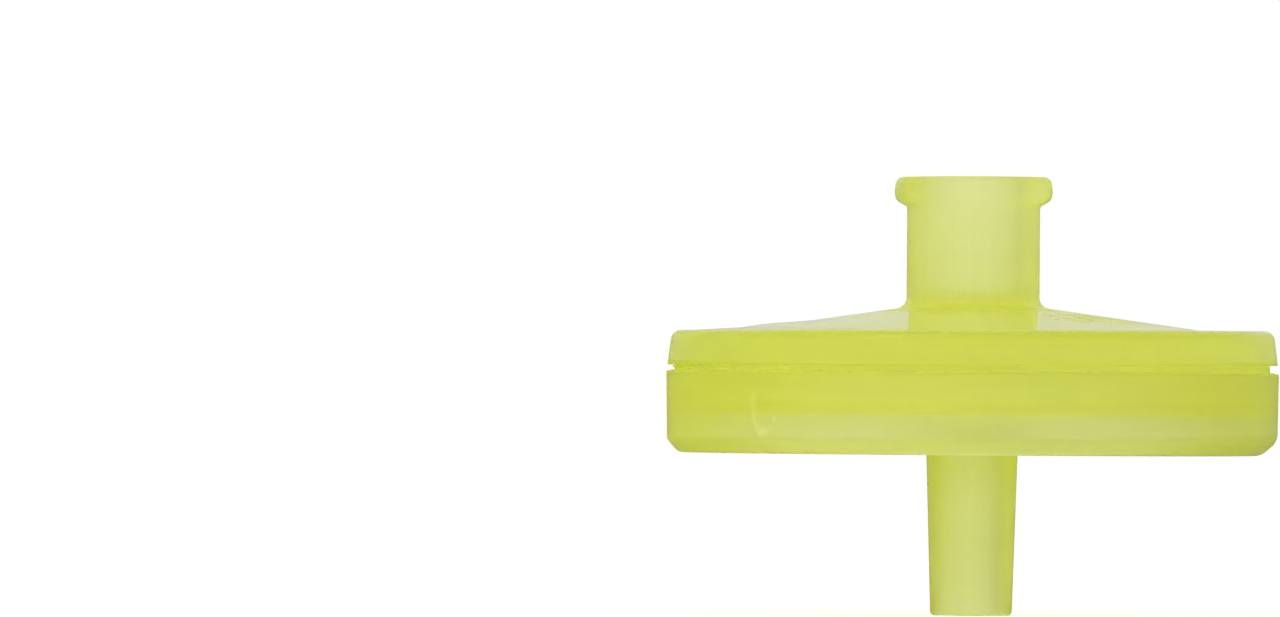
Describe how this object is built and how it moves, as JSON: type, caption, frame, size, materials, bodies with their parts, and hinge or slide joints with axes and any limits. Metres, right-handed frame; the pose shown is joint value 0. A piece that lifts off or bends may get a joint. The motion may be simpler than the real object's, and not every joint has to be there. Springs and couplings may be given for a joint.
{
  "type": "syringe filter",
  "caption": "Disc-shaped syringe filter: translucent yellow-green housing with a female luer-lock inlet above, a male luer nozzle below and a clamped white membrane inside.",
  "frame": {"origin": "centre of the outlet nozzle's end face, which is the lowest point of the part", "axes": "+Z along the common axis, from the outlet nozzle to the luer-lock inlet; X lies 4 degrees from the line through the two luer ears"},
  "size_m": [0.03, 0.03, 0.0215],
  "materials": {
    "tinted_polypropylene": "translucent yellow-green moulded polypropylene, softly glossy, milky inside",
    "white_membrane": "matt white microporous membrane"
  },
  "bodies": {
    "root": {"outlet_housing": "tinted_polypropylene", "filter_membrane": "white_membrane", "inlet_housing": "tinted_polypropylene"}
  },
  "joints": []
}
